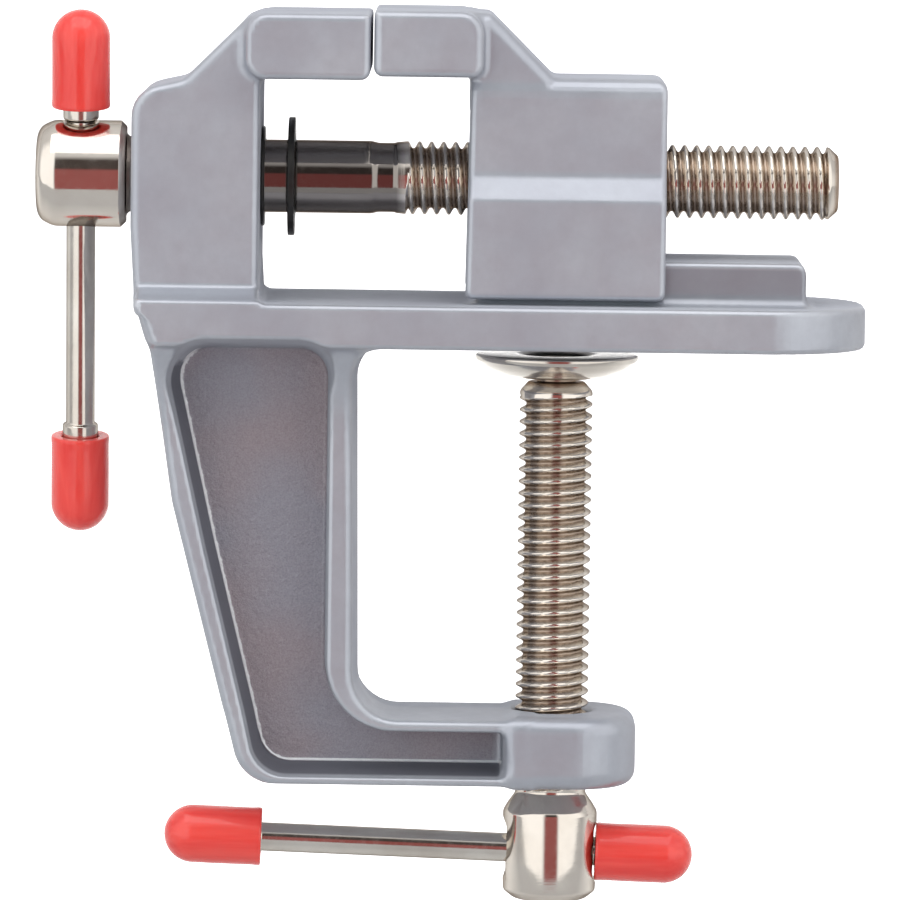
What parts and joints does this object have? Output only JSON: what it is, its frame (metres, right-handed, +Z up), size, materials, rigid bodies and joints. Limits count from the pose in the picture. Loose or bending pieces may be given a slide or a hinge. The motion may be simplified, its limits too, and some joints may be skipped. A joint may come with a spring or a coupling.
{
  "type": "bench vise",
  "caption": "Small clamp-on bench vise with a fixed and a sliding jaw, a C-shaped table clamp and T-bar screws with soft end caps.",
  "frame": {"origin": "on the underside of the table plate, where the clamp screw's axis meets it, on the middle plane", "axes": "+X along the jaw screw towards the moving jaw's side, +Y to the back, +Z up along the clamp screw"},
  "size_m": [0.0861, 0.0256, 0.0928],
  "materials": {
    "casting": "satin grey paint on cast aluminium",
    "nickel": "bright nickel plate",
    "black_steel": "black oxide",
    "cap": "glossy soft vinyl"
  },
  "bodies": {
    "frame": {"frame_casting": "casting", "thrust_washer": "black_steel"},
    "moving_jaw": {"moving_jaw": "casting"},
    "jaw_screw": {"jaw_screw": "nickel", "e_clip": "black_steel"},
    "jaw_t_bar": {"jaw_t_bar": "nickel", "jaw_t_bar_upper_cap": "cap", "jaw_t_bar_lower_cap": "cap"},
    "swivel_pad": {"swivel_pad": "nickel"},
    "clamp_screw": {"clamp_screw": "nickel"},
    "clamp_t_bar": {"clamp_t_bar": "nickel", "clamp_t_bar_left_cap": "cap", "clamp_t_bar_right_cap": "cap"}
  },
  "joints": [
    {"name": "jaw_screw_turn", "type": "hinge", "parent": "frame", "child": "jaw_screw", "pos_m": [0, 0, 0.017], "axis": [-1, 0, 0], "range_deg": [-72, 8460]},
    {"name": "jaw_travel", "type": "slide", "parent": "frame", "child": "moving_jaw", "axis": [1, 0, 0], "range_m": [-0.00025, 0.02938]},
    {"name": "jaw_t_bar_slide", "type": "slide", "parent": "jaw_screw", "child": "jaw_t_bar", "axis": [0, -0.1392, 0.9903], "range_m": [0, 0.0209]},
    {"name": "clamp_travel", "type": "slide", "parent": "frame", "child": "swivel_pad", "axis": [0, 0, -1], "range_m": [-0.001, 0.03375]},
    {"name": "clamp_screw_turn", "type": "hinge", "parent": "swivel_pad", "child": "clamp_screw", "pos_m": [0, 0, 0], "axis": [0, 0, -1], "range_deg": [-288, 9720]},
    {"name": "clamp_t_bar_slide", "type": "slide", "parent": "clamp_screw", "child": "clamp_t_bar", "axis": [0.9995, 0, -0.0305], "range_m": [0, 0.0251]}
  ],
  "couplings": [
    {"joint": "jaw_travel", "follows": "jaw_screw_turn", "m_per_rad": 0.00019894},
    {"joint": "clamp_travel", "follows": "clamp_screw_turn", "m_per_rad": 0.00019894}
  ]
}
